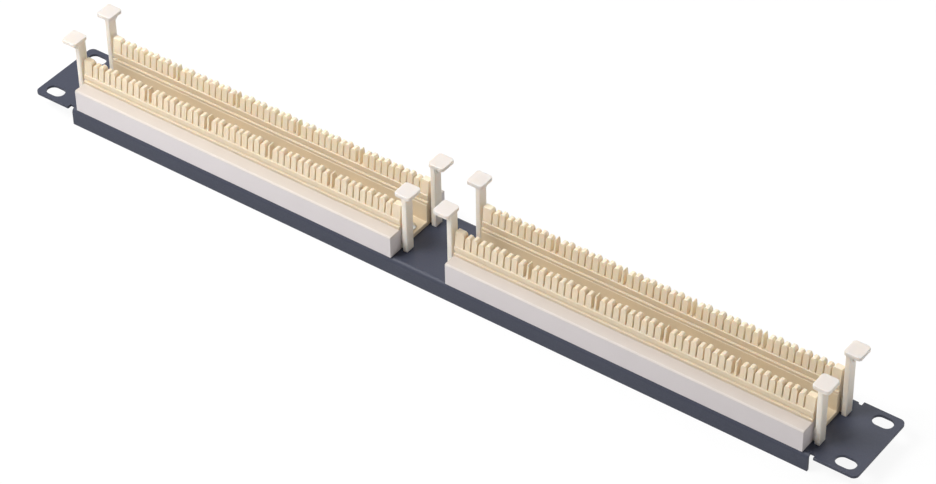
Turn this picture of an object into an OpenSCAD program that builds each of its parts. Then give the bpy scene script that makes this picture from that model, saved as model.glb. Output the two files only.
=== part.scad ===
// One-unit rack panel with two punch down wiring blocks side by side. Each
// block is a moulded base that carries two slotted index strips, with a hooked
// wire retainer at every corner. X runs along the panel and Z out of its face,
// and Z = 0 is the free edge of the panel's return flanges.

/* [Rack panel] */
// Overall length of the rack panel
panel_length = 482.6; // [474:0.2:500]
// Height of the panel, across its length
panel_height = 44.2; // [40:0.2:60]
// Thickness of the panel's steel sheet
panel_sheet = 1.5; // [1:0.1:2.5]
// Depth of the return flanges, from the face to their free edge
flange_depth = 10; // [8:0.5:20]
// Inside radius of the folds
fold_radius = 1; // [0.6:0.1:2]
// Length of the flat ear beyond the end of the flanges
ear_length = 24.8; // [21:0.2:30]
// Corner radius of the ears
ear_radius = 3; // [1:0.25:6]
// Width of the relief notch at each end of a fold
relief_width = 2.6; // [1:0.1:4]
// Distance from the panel's end to the middle of a rack slot
rack_slot_inset = 8.75; // [7.5:0.25:12]
// Spacing of the rack slots across the panel
rack_slot_spacing = 31.75; // [26:0.25:32]
// Length of a rack slot, along the panel
rack_slot_length = 10.5; // [8:0.5:12]
// Width of a rack slot
rack_slot_width = 7; // [5:0.25:7.5]

/* [Wiring blocks] */
// Wire pairs in one row
row_pairs = 25; // [5:5:25]
// Spacing of the wire pairs along a row
pair_pitch = 7.62; // [6:0.02:7.7]
// Spacing of the two rows of a block
row_spacing = 22.2; // [19:0.2:24]
// Solid stretch of a row beyond its last pair
row_end = 3.4; // [3:0.1:5]
// Gap between the two blocks
block_gap = 32.1; // [24:0.1:34]
// Step from the panel's long edge to the side of a base
base_setback = 0.3; // [0:0.1:2]
// Height of a base, from the panel's face to its ledge
base_height = 12.5; // [9:0.5:20]
// Thickness of the base's side walls
base_wall = 1.8; // [1.2:0.1:2.4]
// Thickness of the base's end walls
base_end_wall = 2.2; // [1.4:0.1:3]
// Thickness of the ledge that the index strips stand on
ledge_thickness = 1.8; // [1.2:0.1:3]
// Thickness of the ribs inside the base's rails
rib_thickness = 1.4; // [0.8:0.1:2]
// Chamfer along the base's top edges
base_chamfer = 0.6; // [0.2:0.1:1]
// Thickness of the floor between the rows
trough_floor = 2.4; // [1.6:0.2:4]
// Step from the trough's side to the foot of an index strip
foot_setback = 0.2; // [0:0.1:1]

/* [Cable windows] */
// Pairs that share one cable window
window_pairs = 5; // [5:5:5]
// Length of a cable window in the base
window_length = 28; // [12:0.5:30]
// Width of a cable window in the base
window_width = 9; // [6:0.25:10]
// Step from a window's edge in the base to its edge in the panel
window_step = 0.5; // [0.2:0.1:1]

/* [Index strips] */
// Height of an index strip above the ledge
strip_height = 13.5; // [11:0.25:18]
// Width of the foot of an index strip
foot_width = 7.2; // [6.4:0.1:8]
// Height of the foot of an index strip
foot_height = 1.7; // [1:0.1:2.5]
// Thickness of an index strip below its slots
strip_root = 6; // [5:0.1:6.4]
// Thickness of an index strip where its slots start
strip_shoulder = 5.2; // [4.4:0.1:6]
// Thickness of an index strip at its tip
strip_tip = 3.2; // [2:0.1:4]
// Width of a conductor slot
slot_width = 0.8; // [0.6:0.05:1.6]
// Depth of a conductor slot
slot_depth = 8; // [6:0.25:8.5]
// Width of the flat on top of a tooth
tooth_flat = 1.4; // [0.4:0.1:1.6]
// Height of the bevel that leads into a slot
tooth_bevel = 1; // [0.6:0.1:2.5]
// Drop of the tooth that splits a pair, below the teeth between pairs
splitter_drop = 0.8; // [0:0.1:2]
// Width of the thin tooth that marks every fifth pair
mark_tooth_width = 1.1; // [0.8:0.1:1.6]
// Height of the groove along an index strip, above its foot
groove_height = 1; // [0.4:0.1:1.2]
// Depth of the groove along an index strip
groove_depth = 0.5; // [0.2:0.1:0.8]
// Diameter of the pegs under an index strip
peg_diameter = 3; // [2:0.1:3.2]
// Clearance of a peg in its hole, all round
peg_clearance = 0.1; // [0.05:0.05:0.3]
// Length of a peg below the ledge
peg_projection = 0.8; // [0:0.1:2]
// Width of the coring pockets under an index strip
core_width = 2.6; // [1.6:0.1:3]
// Depth of the coring pockets under an index strip
core_depth = 3.4; // [2:0.1:4]
// Wall left round a coring pocket, along the strip
core_wall = 1.6; // [1:0.1:2.5]

/* [Wire retainers] */
// Height of a retainer above the panel's face
retainer_height = 38.5; // [32:0.5:45]
// Thickness of a retainer's post, along the panel
post_thickness = 2.8; // [2:0.1:4]
// Width of a retainer's post, across the panel
post_width = 5.4; // [4:0.1:7]
// Corner radius of a retainer's post
post_radius = 0.5; // [0.2:0.1:0.9]
// Gap between the end of a base and a retainer's post
post_gap = 1.4; // [1:0.1:3]
// Step from the middle of a row out to the middle of a post
post_step = 0.4; // [0:0.1:1.5]
// Length of a retainer's head, along the panel
head_length = 9; // [7:0.25:10]
// Width of a retainer's head, across the panel
head_width = 10; // [8:0.1:11]
// Thickness of a retainer's head
head_thickness = 2; // [1.4:0.1:3]
// Corner radius of a retainer's head
head_radius = 1.6; // [0.5:0.1:3]
// Step from the post back to the head's edge, towards the base
head_overlap = 1.1; // [0.2:0.1:1.4]
// Step from the post back to the head's edge, towards the trough
head_lip = 0.5; // [0.2:0.1:1]
// Reach of the gusset below the head
gusset_reach = 4; // [2:0.25:6]
// Thickness of the gusset below the head
gusset_thickness = 1.4; // [1:0.1:2]
// Width of the tongue that holds a retainer in the base
tongue_width = 2.4; // [1.6:0.1:3]
// Height of the tongue above the panel's face
tongue_height = 8.6; // [4:0.2:8.6]
// Width that the tongue's head adds on each side
barb_step = 0.7; // [0.4:0.1:0.8]
// Thickness of the tongue's head
barb_thickness = 1.4; // [1:0.1:3]
// Clearance of the tongue in the base's end wall
tongue_clearance = 0.2; // [0.1:0.05:0.3]

/* [Fasteners] */
// Diameter of the screws
screw_diameter = 3; // [2.5:0.1:3.5]
// Diameter of a screw's head
screw_head_diameter = 5.6; // [5:0.1:6.4]
// Height of a screw's head
screw_head_height = 2; // [1.4:0.1:2.6]
// Length of a screw's shank beyond its nut
screw_projection = 1; // [0.5:0.1:2]
// Width of the cross recess in a screw's head
recess_width = 0.8; // [0.5:0.1:1.2]
// Length of the cross recess in a screw's head
recess_length = 3.2; // [2:0.1:3.6]
// Depth of the cross recess in a screw's head
recess_depth = 1.1; // [0.6:0.1:1.3]
// Clearance of a screw in its holes, all round
screw_clearance = 0.2; // [0.1:0.05:0.4]
// Distance from the end of a base to the middle of its screw
screw_inset = 4.4; // [3.6:0.1:5]
// Outer diameter of a washer
washer_diameter = 7; // [6.4:0.1:8]
// Thickness of a washer
washer_thickness = 0.5; // [0.4:0.1:1]
// Width of a nut across its flats
nut_flats = 5.5; // [5:0.1:6.4]
// Height of a nut
nut_height = 2.4; // [1.6:0.1:3]
// Chamfer on the corners of a nut
nut_chamfer = 0.35; // [0.1:0.05:0.5]
// Running clearance between a screw and its nut, all round
thread_clearance = 0.02; // [0.01:0.01:0.05]

/* [Hidden] */

$fn = 48;
// Overshoot of a cut past the surface that it opens
cut = 1;
left = -1;
right = 1;
front = -1;
back = 1;

steel_black = [0.2, 0.21, 0.26];
base_white = [0.86, 0.84, 0.84];
strip_ivory = [0.88, 0.82, 0.7];
retainer_white = [0.93, 0.9, 0.86];
zinc = [0.72, 0.73, 0.74];

panel_face = flange_depth;
flange_span = panel_length - 2 * ear_length;
fold_outer_radius = fold_radius + panel_sheet;
rack_slot_x = panel_length / 2 - rack_slot_inset;

row_length = row_pairs * pair_pitch;
base_length = row_length + 2 * row_end;
base_width = panel_height - 2 * base_setback;
block_x = (base_length + block_gap) / 2;
row_y = row_spacing / 2;
trough_width = row_spacing - foot_width - 2 * foot_setback;
rail_inner_y = trough_width / 2 + base_wall;
rail_outer_y = base_width / 2 - base_wall;

group_count = row_pairs / window_pairs;
group_pitch = window_pairs * pair_pitch;
group_centres = [for (i = [0 : group_count - 1]) (i - (group_count - 1) / 2) * group_pitch];

slot_pitch = pair_pitch / 2;
tooth_width = slot_pitch - slot_width;
slot_floor = strip_height - slot_depth;
tooth_count = 2 * row_pairs;
teeth_per_group = 2 * window_pairs;

post_x = base_length / 2 + post_gap + post_thickness / 2;
post_y = row_y + post_step;
head_x = base_length / 2 + post_gap + head_length / 2 - head_overlap;
head_y = post_y - post_width / 2 - head_lip + head_width / 2;
barb_x = base_length / 2 - base_end_wall - tongue_clearance - barb_thickness;

screw_x = base_length / 2 - screw_inset;
screw_hole_diameter = screw_diameter + 2 * screw_clearance;
screw_grip = trough_floor + panel_sheet + washer_thickness + nut_height;

// Flat rectangle with round corners, about its middle
module rounded_rectangle(length, width, radius) {
    square([length - 2 * radius, width], center = true);
    square([length, width - 2 * radius], center = true);
    for (x = [-1, 1])
        for (y = [-1, 1])
            translate([x * (length / 2 - radius), y * (width / 2 - radius)])
                circle(r = radius);
}

// Flat slot with round ends, about its middle
module obround(length, width) {
    square([length - width, width], center = true);
    for (x = [-1, 1])
        translate([x * (length - width) / 2, 0])
            circle(d = width);
}

// Flat outline of a downward channel with round top corners
module channel_outline(width, depth, radius) {
    translate([-width / 2, -depth])
        square([width, depth - radius]);
    translate([radius - width / 2, -depth])
        square([width - 2 * radius, depth]);
    for (side = [-1, 1])
        translate([side * (width / 2 - radius), -radius])
            circle(r = radius);
}

// Runs a profile drawn across the panel along its length, about the middle
module along_panel(length) {
    rotate([90, 0, 90])
        linear_extrude(height = length, center = true)
            children();
}

// Places a block's piece on the panel, on the left or the right
module on_block(side) {
    translate([side * block_x, 0, panel_face])
        children();
}

// Turns a piece made for the right end and the back row to any corner
module at_corner(end, row) {
    mirror([end < 0 ? 1 : 0, 0, 0])
        mirror([0, row < 0 ? 1 : 0, 0])
            children();
}

// Places a fastener at the left or the right end of a block
module at_screw(side, end) {
    on_block(side)
        translate([end * screw_x, 0, 0])
            children();
}

module folded_sheet() {
    along_panel(flange_span)
        difference() {
            channel_outline(panel_height, flange_depth, fold_outer_radius);
            translate([0, -panel_sheet])
                channel_outline(panel_height - 2 * panel_sheet, flange_depth, fold_radius);
        }
}

module ears() {
    translate([0, 0, -panel_sheet])
        linear_extrude(height = panel_sheet)
            difference() {
                rounded_rectangle(panel_length, panel_height, ear_radius);
                square([flange_span, panel_height + cut], center = true);
                for (x = [-1, 1])
                    for (y = [-1, 1])
                        translate([x * flange_span / 2, y * panel_height / 2])
                            square([2 * relief_width, 2 * fold_outer_radius], center = true);
            }
}

module rack_panel() {
    color(steel_black)
        translate([0, 0, panel_face])
            difference() {
                union() {
                    folded_sheet();
                    ears();
                }
                translate([0, 0, -panel_sheet - cut])
                    linear_extrude(height = panel_sheet + 2 * cut)
                        panel_cutouts();
            }
}

module panel_cutouts() {
    for (side = [left, right]) {
        for (y = [-1, 1])
            translate([side * rack_slot_x, y * rack_slot_spacing / 2])
                obround(rack_slot_length, rack_slot_width);
        for (x = group_centres)
            translate([side * block_x + x, 0])
                obround(window_length + 2 * window_step, window_width + 2 * window_step);
        for (end = [-1, 1])
            translate([side * block_x + end * screw_x, 0])
                circle(d = screw_hole_diameter);
    }
}

// Outer outline of a base across the panel
module base_outline() {
    polygon([
        [-base_width / 2, 0],
        [base_width / 2, 0],
        [base_width / 2, base_height - base_chamfer],
        [base_width / 2 - base_chamfer, base_height],
        [base_chamfer - base_width / 2, base_height],
        [-base_width / 2, base_height - base_chamfer],
    ]);
}

// Hollow of one bay of a rail, open below
module rail_bay(bay_start, bay_end) {
    translate([bay_start, rail_inner_y, -cut])
        cube([bay_end - bay_start, rail_outer_y - rail_inner_y, base_height - ledge_thickness + cut]);
}

module rail_bays() {
    inner_end = base_length / 2 - base_end_wall;
    for (i = [0 : group_count - 1]) {
        first = i == 0;
        last = i == group_count - 1;
        bay_start = first ? -inner_end : group_centres[i] - (group_pitch - rib_thickness) / 2;
        bay_end = last ? inner_end : group_centres[i] + (group_pitch - rib_thickness) / 2;
        rail_bay(bay_start, bay_end);
    }
}

// Keyhole in an end wall that a retainer's tongue slides up into
module tongue_slot() {
    translate([base_length / 2 - base_end_wall - cut, post_y - tongue_width / 2 - tongue_clearance, -cut])
        cube([
            base_end_wall + 2 * cut,
            tongue_width + 2 * tongue_clearance,
            tongue_height + tongue_clearance + cut,
        ]);
}

module wiring_base() {
    color(base_white)
        difference() {
            along_panel(base_length)
                base_outline();
            translate([-base_length / 2 - cut, -trough_width / 2, trough_floor])
                cube([base_length + 2 * cut, trough_width, base_height]);
            for (row = [front, back])
                at_corner(right, row) {
                    rail_bays();
                    for (x = group_centres)
                        translate([x, row_y, base_height - ledge_thickness - cut])
                            cylinder(d = peg_diameter + 2 * peg_clearance, h = ledge_thickness + 2 * cut);
                }
            for (end = [left, right])
                for (row = [front, back])
                    at_corner(end, row)
                        tongue_slot();
            translate([0, 0, -cut])
                linear_extrude(height = trough_floor + 2 * cut)
                    base_floor_cutouts();
        }
}

module base_floor_cutouts() {
    for (x = group_centres)
        translate([x, 0])
            obround(window_length, window_width);
    for (end = [-1, 1])
        translate([end * screw_x, 0])
            circle(d = screw_hole_diameter);
}

// Middle of tooth i of a comb, its height and its width: the teeth that split a
// pair are short, and every fifth pair is marked by a thin one
function tooth_x(i) = i * slot_pitch - row_length / 2;
function tooth_top(i) = i % 2 == 0 ? strip_height : strip_height - splitter_drop;
function width_of_tooth(i) = i % teeth_per_group == 0 ? mark_tooth_width : tooth_width;

// Outline of tooth i, from the slot before it to the slot after it
function tooth_points(i) =
    let (
        x = tooth_x(i),
        side = width_of_tooth(i) / 2,
        flat = side * tooth_flat / tooth_width,
        bevel_start = tooth_top(i) - tooth_bevel
    )
    [
        [x - side, slot_floor],
        [x - side, bevel_start],
        [x - flat, tooth_top(i)],
        [x + flat, tooth_top(i)],
        [x + side, bevel_start],
        [x + side, slot_floor],
    ];

// Outline of a row's end, on the left (-1) or the right (1)
function row_end_points(end) = [
    [end * base_length / 2, 0],
    [end * base_length / 2, strip_height],
    [end * (row_length / 2 - tooth_flat / 2), strip_height],
    [end * (row_length / 2 - tooth_width / 2), strip_height - tooth_bevel],
    [end * (row_length / 2 - tooth_width / 2), slot_floor],
];

// Side view of an index strip's comb
module comb_outline() {
    right_end = row_end_points(1);
    polygon(concat(
        row_end_points(-1),
        [for (i = [1 : tooth_count - 1]) each tooth_points(i)],
        [for (i = [len(right_end) - 1 : -1 : 0]) right_end[i]]
    ));
}

// Cross-section of an index strip above the ledge
module strip_section() {
    groove_top = foot_height + groove_height;
    translate([-foot_width / 2, 0])
        square([foot_width, foot_height]);
    translate([groove_depth - strip_root / 2, 0])
        square([strip_root - 2 * groove_depth, slot_floor]);
    translate([-strip_root / 2, groove_top])
        square([strip_root, slot_floor - groove_top]);
    polygon([
        [-strip_shoulder / 2, groove_top],
        [strip_shoulder / 2, groove_top],
        [strip_shoulder / 2, slot_floor],
        [strip_tip / 2, strip_height],
        [-strip_tip / 2, strip_height],
        [-strip_shoulder / 2, slot_floor],
    ]);
}

// Pair of coring pockets either side of a peg
module core_pockets() {
    pocket_start = peg_diameter / 2 + core_wall;
    pocket_length = group_pitch / 2 - core_wall / 2 - pocket_start;
    for (side = [-1, 1])
        translate([side * (pocket_start + pocket_length / 2), 0, (core_depth - cut) / 2])
            cube([pocket_length, core_width, core_depth + cut], center = true);
}

module index_strip() {
    color(strip_ivory)
        difference() {
            union() {
                intersection() {
                    rotate([90, 0, 0])
                        linear_extrude(height = foot_width + 2 * cut, center = true)
                            comb_outline();
                    along_panel(base_length)
                        strip_section();
                }
                for (x = group_centres)
                    translate([x, 0, -ledge_thickness - peg_projection])
                        cylinder(d = peg_diameter, h = ledge_thickness + peg_projection + foot_height);
            }
            for (x = group_centres)
                translate([x, 0, 0])
                    core_pockets();
        }
}

module on_row(side, row) {
    on_block(side)
        translate([0, row * row_y, base_height])
            children();
}

// Post and hooked head of a retainer, with the tongue that keys into the base
module wire_retainer() {
    color(retainer_white) {
        translate([post_x, post_y, 0])
            linear_extrude(height = retainer_height - head_thickness / 2)
                rounded_rectangle(post_thickness, post_width, post_radius);
        translate([head_x, head_y, retainer_height - head_thickness])
            linear_extrude(height = head_thickness)
                rounded_rectangle(head_length, head_width, head_radius);
        retainer_gussets();
        retainer_tongue();
    }
}

// Triangular webs below the head, along the panel and across it
module retainer_gussets() {
    translate([post_x, post_y, retainer_height - head_thickness])
        rotate([90, 0, 0])
            linear_extrude(height = gusset_thickness, center = true)
                polygon([[0, cut / 2], [post_thickness / 2 + gusset_reach, cut / 2],
                         [post_thickness / 2 + gusset_reach, 0], [0, -gusset_reach - post_thickness / 2]]);
    translate([post_x, post_y, retainer_height - head_thickness])
        along_panel(gusset_thickness)
            polygon([[0, cut / 2], [post_width / 2 + gusset_reach, cut / 2],
                     [post_width / 2 + gusset_reach, 0], [0, -gusset_reach - post_width / 2]]);
}

module retainer_tongue() {
    translate([barb_x, post_y - tongue_width / 2, 0])
        cube([post_x - barb_x, tongue_width, tongue_height]);
    translate([barb_x, post_y - tongue_width / 2 - barb_step, 0])
        cube([barb_thickness, tongue_width + 2 * barb_step, tongue_height]);
}

// Pan head screw, its head seated on the trough's floor
module screw() {
    color(zinc)
        translate([0, 0, trough_floor])
            difference() {
                union() {
                    screw_head();
                    translate([0, 0, -screw_grip - screw_projection])
                        cylinder(d = screw_diameter, h = screw_grip + screw_projection + screw_head_height / 2);
                }
                for (turn = [0, 90])
                    rotate([0, 0, turn])
                        translate([-recess_length / 2, -recess_width / 2, screw_head_height - recess_depth])
                            cube([recess_length, recess_width, recess_depth + cut]);
            }
}

// Low dome on a short rim
module screw_head() {
    rim = screw_head_height / 3;
    rise = screw_head_height - rim;
    dome_radius = (pow(screw_head_diameter / 2, 2) + pow(rise, 2)) / (2 * rise);
    rotate_extrude()
        intersection() {
            square([screw_head_diameter / 2, screw_head_height]);
            translate([0, screw_head_height - dome_radius])
                circle(r = dome_radius);
        }
}

module washer() {
    color(zinc)
        translate([0, 0, -panel_sheet - washer_thickness])
            difference() {
                cylinder(d = washer_diameter, h = washer_thickness);
                translate([0, 0, -cut])
                    cylinder(d = screw_hole_diameter, h = washer_thickness + 2 * cut);
            }
}

// Hexagon nut with its corners chamfered at both faces
module nut() {
    corner_diameter = nut_flats / cos(30);
    color(zinc)
        translate([0, 0, -panel_sheet - washer_thickness - nut_height])
            difference() {
                intersection() {
                    cylinder(d = corner_diameter, h = nut_height, $fn = 6);
                    rotate_extrude()
                        polygon([
                            [0, 0],
                            [corner_diameter / 2 - nut_chamfer, 0],
                            [corner_diameter / 2, nut_chamfer],
                            [corner_diameter / 2, nut_height - nut_chamfer],
                            [corner_diameter / 2 - nut_chamfer, nut_height],
                            [0, nut_height],
                        ]);
                }
                translate([0, 0, -cut])
                    cylinder(d = screw_diameter + 2 * thread_clearance, h = nut_height + 2 * cut);
            }
}

rack_panel();
on_block(left) wiring_base();  // left_base
on_block(right) wiring_base();  // right_base
on_row(left, front) index_strip();  // left_front_index_strip
on_row(left, back) index_strip();  // left_back_index_strip
on_row(right, front) index_strip();  // right_front_index_strip
on_row(right, back) index_strip();  // right_back_index_strip
on_block(left) at_corner(left, front) wire_retainer();  // left_outer_front_retainer
on_block(left) at_corner(left, back) wire_retainer();  // left_outer_back_retainer
on_block(left) at_corner(right, front) wire_retainer();  // left_inner_front_retainer
on_block(left) at_corner(right, back) wire_retainer();  // left_inner_back_retainer
on_block(right) at_corner(left, front) wire_retainer();  // right_inner_front_retainer
on_block(right) at_corner(left, back) wire_retainer();  // right_inner_back_retainer
on_block(right) at_corner(right, front) wire_retainer();  // right_outer_front_retainer
on_block(right) at_corner(right, back) wire_retainer();  // right_outer_back_retainer
at_screw(left, left) screw();  // left_outer_screw
at_screw(left, right) screw();  // left_inner_screw
at_screw(right, left) screw();  // right_inner_screw
at_screw(right, right) screw();  // right_outer_screw
at_screw(left, left) washer();  // left_outer_washer
at_screw(left, right) washer();  // left_inner_washer
at_screw(right, left) washer();  // right_inner_washer
at_screw(right, right) washer();  // right_outer_washer
at_screw(left, left) nut();  // left_outer_nut
at_screw(left, right) nut();  // left_inner_nut
at_screw(right, left) nut();  // right_inner_nut
at_screw(right, right) nut();  // right_outer_nut
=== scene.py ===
import math
import bmesh
import bpy
from mathutils import Matrix, Vector


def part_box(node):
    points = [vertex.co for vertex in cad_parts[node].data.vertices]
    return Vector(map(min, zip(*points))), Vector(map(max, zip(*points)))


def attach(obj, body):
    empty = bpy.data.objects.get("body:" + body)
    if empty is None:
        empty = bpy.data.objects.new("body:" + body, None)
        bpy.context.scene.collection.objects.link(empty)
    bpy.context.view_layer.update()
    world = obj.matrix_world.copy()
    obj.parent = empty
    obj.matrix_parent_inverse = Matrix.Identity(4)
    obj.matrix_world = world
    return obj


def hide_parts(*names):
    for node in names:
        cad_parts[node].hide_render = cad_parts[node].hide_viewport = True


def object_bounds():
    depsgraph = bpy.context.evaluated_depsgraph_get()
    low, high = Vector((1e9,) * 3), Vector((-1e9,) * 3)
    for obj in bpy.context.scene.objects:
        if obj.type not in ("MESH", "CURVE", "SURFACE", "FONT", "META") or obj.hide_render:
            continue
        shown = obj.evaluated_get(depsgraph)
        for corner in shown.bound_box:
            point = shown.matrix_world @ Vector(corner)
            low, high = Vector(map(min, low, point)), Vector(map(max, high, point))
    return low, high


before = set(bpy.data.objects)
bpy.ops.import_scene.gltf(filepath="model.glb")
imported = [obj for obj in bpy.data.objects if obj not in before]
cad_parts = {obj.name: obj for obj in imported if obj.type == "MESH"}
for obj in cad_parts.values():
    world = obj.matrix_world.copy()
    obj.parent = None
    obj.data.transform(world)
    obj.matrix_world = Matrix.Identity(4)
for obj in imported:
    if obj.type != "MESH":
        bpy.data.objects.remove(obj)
cad_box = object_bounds()

# ---------------------------------------------------------------- Rack panel
# One sheet of steel, punched with rack slots, cable windows and screw holes,
# folded back along both long edges, and powder coated satin blue-black.

MM = 0.001
panel_edge_radius = 0.13 * MM
coat_bump_depth = 0.14 * MM
coat_colour = (0.034, 0.039, 0.064)
coat_cloud_colour = (0.045, 0.05, 0.075)
coat_grain_colour = (0.058, 0.064, 0.092)
coat_worn_colour = (0.16, 0.17, 0.2)

weld_distance = 0.0005 * MM
same_height = 0.001 * MM
flat_angle = math.radians(0.5)
corner_angle = math.radians(28)


class Signal:
    """One output of a material's nodes, which Python arithmetic extends."""

    def __init__(self, nodes, socket):
        self.nodes = nodes
        self.socket = socket

    def compute(self, operation, *values):
        return self.nodes.node("ShaderNodeMath", {"operation": operation}, dict(enumerate(values)))

    def __add__(self, other):
        return self.compute("ADD", self, other)

    def __sub__(self, other):
        return self.compute("SUBTRACT", self, other)

    def __rsub__(self, other):
        return self.compute("SUBTRACT", other, self)

    def __mul__(self, other):
        return self.compute("MULTIPLY", self, other)

    def __abs__(self):
        return self.compute("ABSOLUTE", self)

    __radd__ = __add__
    __rmul__ = __mul__

    def between(self, low, high):
        """0 below low, 1 above high and a smooth rise from one to the other."""
        ends = {"Value": self, "From Min": low, "From Max": high}
        return self.nodes.node("ShaderNodeMapRange", {"interpolation_type": "SMOOTHSTEP"}, ends)


class Nodes:
    """The node tree of a material or of the world."""

    def __init__(self, tree):
        self.tree = tree

    def node(self, kind, settings, inputs, output=0):
        """Adds a node, with its settings first and then its sockets' values or links."""
        node = self.tree.nodes.new(kind)
        for setting, value in settings.items():
            setattr(node, setting, value)
        for socket, value in inputs.items():
            if isinstance(value, Signal):
                self.tree.links.new(value.socket, node.inputs[socket])
            else:
                node.inputs[socket].default_value = value
        return Signal(self, node.outputs[output])


class Finish(Nodes):
    """A Principled material, built up from nodes on Object coordinates."""

    def __init__(self, name, uniform):
        self.material = bpy.data.materials.new(name)
        self.material.use_nodes = True
        super().__init__(self.material.node_tree)
        self.surface = self.tree.nodes["Principled BSDF"]
        for socket, value in uniform.items():
            self.surface.inputs[socket].default_value = value
        self.place = self.node("ShaderNodeTexCoord", {}, {}, "Object")

    def along(self, axis):
        """The place along X, Y or Z in metres."""
        return self.node("ShaderNodeSeparateXYZ", {}, {"Vector": self.place}, axis)

    def grain(self, scale, detail=3.0, roughness=0.5, stretch=(1, 1, 1)):
        """Noise with cells of 1 / scale metres, drawn out along an axis by stretch."""
        place = self.node("ShaderNodeMapping", {}, {"Vector": self.place, "Scale": stretch})
        shape = {"Vector": place, "Scale": scale, "Detail": detail, "Roughness": roughness}
        return self.node("ShaderNodeTexNoise", {}, shape)

    def rounded_edge(self):
        """1 on the rounded edges that softened() makes, and 0 elsewhere."""
        return self.node("ShaderNodeAttribute", {"attribute_name": "rounded_edge"}, {}, "Fac")

    def blend(self, factor, first, second):
        """Colour that goes from first to second as factor goes from 0 to 1."""
        ends = [end if isinstance(end, Signal) else (*end, 1) for end in (first, second)]
        sockets = {"Factor": factor, 6: ends[0], 7: ends[1]}
        return self.node("ShaderNodeMix", {"data_type": "RGBA"}, sockets, 2)

    def feed(self, varying):
        """Links what varies over the surface to the shader's own sockets."""
        for socket, value in varying.items():
            self.tree.links.new(value.socket, self.surface.inputs[socket])

    def relief(self, height, depth, strength):
        """Bumps of that depth in metres."""
        shape = {"Height": height, "Distance": depth, "Strength": strength}
        self.feed({"Normal": self.node("ShaderNodeBump", {}, shape)})


def softened(node, radius, clamp=False, sharp_height=math.inf):
    """A merged copy of a CAD node with its edges rounded, marked for edge wear and for painted edge
    highlights.

    Edges that touch sharp_height stay sharp, and clamp narrows the rounding on small parts.
    """
    mesh = bmesh.new()
    mesh.from_mesh(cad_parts[node].data)
    mark = mesh.faces.layers.float.new("rounded_edge")
    bmesh.ops.remove_doubles(mesh, verts=mesh.verts, dist=weld_distance)
    bmesh.ops.dissolve_limit(mesh, angle_limit=flat_angle, verts=mesh.verts, edges=mesh.edges)
    corners = [edge for edge in mesh.edges if edge.calc_face_angle() > corner_angle]
    for edge in corners:
        edge.smooth = all(abs(vert.co.z - sharp_height) > same_height for vert in edge.verts)
    rounded = bmesh.ops.bevel(
        mesh, geom=[edge for edge in corners if edge.smooth], offset=radius, offset_type="OFFSET",
        segments=2, profile=0.5, affect="EDGES", clamp_overlap=clamp, material=-1)
    for face in rounded["faces"]:
        face[mark] = 1.0
    return mesh


def piece_from(mesh, name, material, node):
    """Turns a bmesh into a piece of the object that stands for a CAD node."""
    data = bpy.data.meshes.new(name)
    mesh.to_mesh(data)
    mesh.free()
    data.shade_smooth()
    data.materials.append(material)
    piece = bpy.data.objects.new(name, data)
    bpy.context.scene.collection.objects.link(piece)
    normals = piece.modifiers.new("even_normals", "WEIGHTED_NORMAL")
    normals.keep_sharp = True
    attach(piece, "root")
    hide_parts(node)


def powder_coat():
    """Blue-black with orange peel, fine grain and faint clouds, worn paler along the edges."""
    finish = Finish("powder_coat", {"Specular IOR Level": 0.34})
    orange_peel = finish.grain(420, 2.0)
    fine = finish.grain(2600, 3.0, 0.6)
    cloud = finish.grain(14, 3.0)
    scuff = finish.grain(260, 4.0, 0.65)
    clouded = cloud.between(0.3, 0.7) * 0.55
    grained = fine.between(0.45, 0.7) * 0.6
    worn = finish.rounded_edge() * scuff.between(0.5, 0.68) * 0.55
    even = finish.blend(clouded, coat_colour, coat_cloud_colour)
    tone = finish.blend(grained, even, coat_grain_colour)
    finish.feed({
        "Base Color": finish.blend(worn, tone, coat_worn_colour),
        "Roughness": 0.4 + fine * 0.12 + cloud * 0.06,
    })
    finish.relief(orange_peel * 0.7 + fine * 0.3, coat_bump_depth, 0.8)
    return finish.material


panel_mesh = softened("rack_panel", panel_edge_radius)
piece_from(panel_mesh, "panel", powder_coat(), "rack_panel")

# --------------------------------------------------------------------- Bases
# Two white plastic blocks with a plain skirt, a ledge for each row and a trough
# between them. Each is one injection moulding, screwed to the panel.

base_edge_radius = 0.2 * MM
base_bump_depth = 0.03 * MM
trough_side = 8 * MM
ledge_side = 14 * MM
ledge_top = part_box("left_base")[1][2]
skirt_colour = (0.68, 0.635, 0.64)
deep_skirt_colour = (0.62, 0.57, 0.57)
# Painted reflection: the ledges' tops are painted warmer, standing in for the ivory strips' reflected
# light.
ledge_ivory_reflection_colour = (0.69, 0.62, 0.555)
trough_colour = (0.775, 0.65, 0.47)
deep_trough_colour = (0.7, 0.585, 0.41)
# Painted highlight: the rounded edges of the plastic parts are painted this lighter colour.
edge_highlight_colour = (0.87, 0.84, 0.79)


def moulded_plastic(finish, colour, deep_colour, bump_depth, roughness):
    """Eroded mould texture, faint flow clouds, and polished edges that are also painted lighter as a
    painted highlight.
    """
    cloud = finish.grain(22, 4.0, 0.55, (0.35, 1, 1))
    speckle = finish.grain(900, 4.0, 0.6)
    texture = finish.grain(3600, 3.0, 0.65)
    polish_and_highlight = finish.rounded_edge()
    clouded = cloud.between(0.3, 0.75) * 0.5
    speckled = speckle.between(0.58, 0.8) * 0.25
    even = finish.blend(clouded, colour, deep_colour)
    tone = finish.blend(speckled, even, deep_colour)
    finish.feed({
        "Base Color": finish.blend(polish_and_highlight * 0.15, tone, edge_highlight_colour),
        "Roughness": roughness + texture * 0.16 + cloud * 0.08 - polish_and_highlight * 0.1,
    })
    finish.relief(texture * 0.6 + speckle * 0.4, bump_depth, 0.5)
    return finish.material


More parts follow.
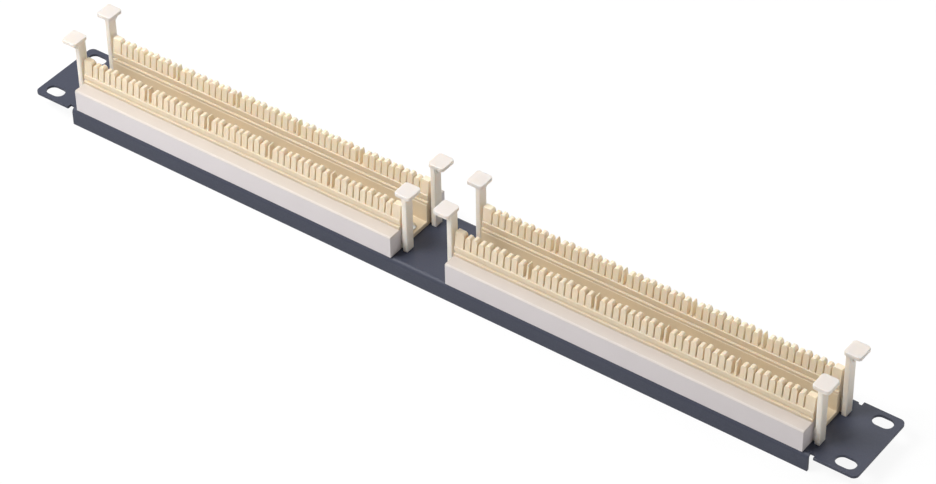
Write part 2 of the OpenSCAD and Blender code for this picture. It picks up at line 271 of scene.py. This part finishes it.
def base_plastic():
    """White, warmer in the trough beside the ivory strips, and painted warmer on the ledges' tops as a
    painted reflection of those strips.
    """
    finish = Finish("base_plastic", {"Specular IOR Level": 0.45})
    outside = abs(finish.along("Y")).between(trough_side, ledge_side)
    ledge_reflection_mask = finish.along("Z").between(ledge_top - 1.5 * MM, ledge_top - 0.2 * MM)
    shell_with_ledge_reflection = finish.blend(ledge_reflection_mask, skirt_colour, ledge_ivory_reflection_colour)
    colour = finish.blend(outside, trough_colour, shell_with_ledge_reflection)
    deep = finish.blend(outside, deep_trough_colour, deep_skirt_colour)
    return moulded_plastic(finish, colour, deep, base_bump_depth, roughness=0.42)


base_white = base_plastic()
for side in ("left", "right"):
    node = side + "_base"
    base_mesh = softened(node, base_edge_radius)
    piece_from(base_mesh, side + "_block_base", base_white, node)

# -------------------------------------------------------------- Index strips
# Four combs moulded in ivory plastic that snap into the ledges. A conductor drops
# into each slot, low teeth split a pair, and a thin tooth marks every fifth pair.

strip_edge_radius = 0.15 * MM
strip_bump_depth = 0.025 * MM
slot_depth = 8 * MM
ivory = (0.78, 0.67, 0.51)
deep_ivory = (0.76, 0.635, 0.46)
# Painted shade: the strips are painted darker at the foot, where they meet the ledge.
foot_painted_shade_ivory = (0.69, 0.585, 0.45)
# Painted light: the teeth are painted lighter, the back row's far more, for the light that the slots
# and the front row keep from them.
tooth_painted_light_ivory = {"front": (0.81, 0.69, 0.52), "back": (0.95, 0.83, 0.66)}
strip_uniform = {
    "Specular IOR Level": 0.45,
    "Subsurface Weight": 0.6,
    "Subsurface Radius": (1.0, 0.75, 0.5),
    "Subsurface Scale": 1.8 * MM,
}


def comb_plastic_with_painted_light(row):
    """Ivory, with painted shade darkening it where the foot meets the ledge, and teeth painted lighter
    as painted light, the back row's far more than the front's.
    """
    finish = Finish(row + "_comb_plastic_with_painted_light", strip_uniform)
    height = finish.along("Z")
    slot_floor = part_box("left_" + row + "_index_strip")[1][2] - slot_depth
    above_foot_shade = height.between(ledge_top + 0.7 * MM, ledge_top + 2.4 * MM)
    on_lightened_tooth = height.between(slot_floor - 0.5 * MM, slot_floor + 1.5 * MM)
    web_with_foot_shade = finish.blend(above_foot_shade, foot_painted_shade_ivory, ivory)
    colour = finish.blend(on_lightened_tooth, web_with_foot_shade, tooth_painted_light_ivory[row])
    return moulded_plastic(finish, colour, deep_ivory, strip_bump_depth, roughness=0.38)


for row in ("front", "back"):
    strip_plastic_with_painted_light = comb_plastic_with_painted_light(row)
    for side in ("left", "right"):
        node = side + "_" + row + "_index_strip"
        strip_mesh = softened(node, strip_edge_radius)
        piece_from(strip_mesh, side + "_" + row + "_comb", strip_plastic_with_painted_light, node)

# ----------------------------------------------------------- Wire retainers
# Eight posts with flat hooked heads that keep the wires in their rows. Each is
# moulded in white plastic and keyed into a socket at a corner of a base.

retainer_edge_radius = 0.3 * MM
retainer_bump_depth = 0.015 * MM
head_thickness = 2 * MM
head_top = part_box("left_outer_front_retainer")[1][2]
head_underside = head_top - head_thickness
# Painted light and shade: the posts are painted lighter, and the heads, lit from above, darker than
# one white would render.
post_white_painted_lighter = (0.88, 0.82, 0.74)
deep_white = (0.78, 0.72, 0.64)
head_white_painted_darker = (0.74, 0.69, 0.655)
retainer_uniform = {
    "Specular IOR Level": 0.5,
    "Subsurface Weight": 0.75,
    "Subsurface Radius": (1.0, 0.85, 0.7),
    "Subsurface Scale": 3 * MM,
}


def retainer_white():
    """White, painted a shade warmer and lighter down the post than on the hooked head: painted light
    on the post, painted shade on the head.
    """
    finish = Finish("retainer_plastic", retainer_uniform)
    on_head_painted_darker = finish.along("Z").between(head_top - 2 * head_thickness, head_top - 0.6 * head_thickness)
    colour = finish.blend(on_head_painted_darker, post_white_painted_lighter, head_white_painted_darker)
    return moulded_plastic(finish, colour, deep_white, retainer_bump_depth, roughness=0.3)


retainer_plastic = retainer_white()
for side in ("left", "right"):
    for end in ("outer", "inner"):
        for row in ("front", "back"):
            corner = side + "_" + end + "_" + row
            node = corner + "_retainer"
            retainer_mesh = softened(node, retainer_edge_radius, sharp_height=head_underside)
            piece_from(retainer_mesh, corner + "_post", retainer_plastic, node)

# ----------------------------------------------------------------- Fasteners
# Zinc-plated steel: a cross-recess pan head screw through each trough floor,
# with a washer and a hexagon nut behind the panel.

fastener_edge_radius = 0.12 * MM
zinc_bump_depth = 0.02 * MM
zinc_grey = (0.6, 0.62, 0.64)
zinc_yellow = (0.7, 0.68, 0.6)
thread_radius = 1.5 * MM
thread_depth = 0.27 * MM
thread_pitch = 0.5 * MM
thread_turns = 2
thread_steps = 24
ridge_width = 0.8 * thread_pitch
ridge_sunk = 0.1 * thread_depth


def zinc_plate():
    """Bright zinc, clouded a little yellow, with fine marks across the axis."""
    finish = Finish("zinc_plate", {"Metallic": 1.0})
    cloud = finish.grain(500, 3.0)
    brushed = finish.grain(1500, 4.0, 0.6, (1, 1, 6))
    tone = finish.blend(cloud.between(0.35, 0.7), zinc_grey, zinc_yellow)
    finish.feed({"Base Color": tone, "Roughness": 0.24 + brushed * 0.22})
    finish.relief(brushed, zinc_bump_depth, 0.4)
    return finish.material


def threaded(mesh, screw, nut):
    """Thins a screw's tip to the root of its thread and winds the ridge round it."""
    low, high = (Vector(corner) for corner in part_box(screw))
    axis = (low + high) / 2
    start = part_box(nut)[0][2] + thread_pitch
    bmesh.ops.bisect_plane(
        mesh, geom=mesh.verts[:] + mesh.edges[:] + mesh.faces[:],
        plane_co=(0, 0, start), plane_no=(0, 0, 1))
    root_radius = thread_radius - thread_depth
    thinner = root_radius / thread_radius
    tip = [vert for vert in mesh.verts if vert.co.z < start + same_height]
    to_axis = Matrix.Translation((-axis.x, -axis.y, 0))
    bmesh.ops.scale(mesh, vec=(thinner, thinner, 1), verts=tip, space=to_axis)
    inner = axis.x + root_radius - ridge_sunk
    outer = axis.x + thread_radius
    section = [
        mesh.verts.new((inner, axis.y, start)),
        mesh.verts.new((outer, axis.y, start - ridge_width / 2)),
        mesh.verts.new((inner, axis.y, start - ridge_width)),
    ]
    sides = [mesh.edges.new((section[i - 1], section[i])) for i in range(3)]
    bmesh.ops.spin(
        mesh, geom=section + sides, cent=(axis.x, axis.y, 0), axis=(0, 0, 1),
        dvec=(0, 0, -thread_pitch / thread_steps), angle=2 * math.pi * thread_turns,
        steps=thread_turns * thread_steps, use_merge=False)
    ends = [edge for edge in mesh.edges if edge.is_boundary]
    bmesh.ops.holes_fill(mesh, edges=ends, sides=3)
    bmesh.ops.recalc_face_normals(mesh, faces=mesh.faces[:])
    return mesh


zinc = zinc_plate()
for side in ("left", "right"):
    for end in ("outer", "inner"):
        hole = side + "_" + end
        node = hole + "_screw"
        screw_mesh = threaded(softened(node, fastener_edge_radius, clamp=True), node, hole + "_nut")
        piece_from(screw_mesh, node + "_zinc", zinc, node)
        for kind in ("washer", "nut"):
            node = hole + "_" + kind
            mesh = softened(node, fastener_edge_radius, clamp=True)
            piece_from(mesh, node + "_zinc", zinc, node)

# ------------------------------------------------------ Floor, light, camera
# White floor and world, five soft lamps of which the strongest stands high on the
# front left, and a long lens that looks down along the panel.

floor_size = 6.0
floor_gap = 0.2 * MM
floor_white_share = 0.88
floor_white_strength = 1.03
world_light = 0.1

floor_mesh = bmesh.new()
bmesh.ops.create_grid(floor_mesh, x_segments=1, y_segments=1, size=floor_size / 2)
floor_data = bpy.data.meshes.new("floor")
floor_mesh.to_mesh(floor_data)
floor_mesh.free()
floor = bpy.data.objects.new("floor", floor_data)
bpy.context.scene.collection.objects.link(floor)
floor.location.z = cad_box[0][2] - floor_gap


def seen(nodes):
    """1 for what the camera sees, straight, in a reflection or through glass."""
    ways = ("Is Camera Ray", "Is Glossy Ray", "Is Transmission Ray")
    straight, mirrored, through = (nodes.node("ShaderNodeLightPath", {}, {}, way) for way in ways)
    return straight + mirrored + through


white = Finish("white_floor", {"Base Color": (0.86, 0.86, 0.86, 1), "Roughness": 0.9})
even_white = {"Color": (1, 1, 1, 1), "Strength": floor_white_strength}
glow = white.node("ShaderNodeEmission", {}, even_white)
lit = Signal(white, white.surface.outputs["BSDF"])
mixed = white.node("ShaderNodeMixShader", {}, {0: seen(white) * floor_white_share, 1: lit, 2: glow})
white.tree.links.new(mixed.socket, white.tree.nodes["Material Output"].inputs["Surface"])
floor_data.materials.append(white.material)

world = bpy.data.worlds.new("studio")
world.use_nodes = True
studio = Nodes(world.node_tree)
background = studio.tree.nodes["Background"]
background.inputs["Color"].default_value = (1, 1, 1, 1)
world_strength = seen(studio) * (1 - world_light) + world_light
studio.tree.links.new(world_strength.socket, background.inputs["Strength"])
bpy.context.scene.world = world


def soft_lamp(name, size, power, place, aim=(0, 0, 0)):
    """A square lamp, with its size in metres and its power in watts, turned to aim."""
    lamp = bpy.data.lights.new(name, "AREA")
    lamp.size = size
    lamp.energy = power
    stand = bpy.data.objects.new(name, lamp)
    stand.location = place
    stand.rotation_euler = (Vector(aim) - Vector(place)).to_track_quat("-Z", "Y").to_euler()
    bpy.context.scene.collection.objects.link(stand)


soft_lamp("key", 0.5, 2.0, (-1.05, -0.25, 1.05))
soft_lamp("high", 0.7, 21.5, (-0.62, -0.7, 1.28))
soft_lamp("low", 0.4, 0.3, (-0.55, -0.4, 0.22), aim=(-0.1, 0, 0))
soft_lamp("right", 0.8, 2.0, (1.2, 0.05, 0.6))
soft_lamp("behind", 1.0, 7.0, (-0.12, 0.8, 1.15))

azimuth = math.radians(36.73)
elevation = math.radians(40.54)
roll = math.radians(-1.04)
distance = 1.6285
target = Vector((0.00703, 0.00894, 0.010))
level_outward = Vector((math.sin(azimuth), -math.cos(azimuth), 0))
outward = level_outward * math.cos(elevation) + Vector((0, 0, math.sin(elevation)))
level_right = Vector((math.cos(azimuth), math.sin(azimuth), 0))
upright = outward.cross(level_right)
right = level_right * math.cos(roll) + upright * math.sin(roll)
up = upright * math.cos(roll) - level_right * math.sin(roll)
lens = bpy.data.cameras.new("camera")
lens.lens = 131.06
lens.sensor_width = 36
lens.clip_start = 0.05
camera = bpy.data.objects.new("camera", lens)
turned = Matrix((right, up, outward)).transposed().to_4x4()
camera.matrix_world = Matrix.Translation(target + outward * distance) @ turned
bpy.context.scene.collection.objects.link(camera)
bpy.context.scene.camera = camera
bpy.context.scene.view_settings.view_transform = "Standard"
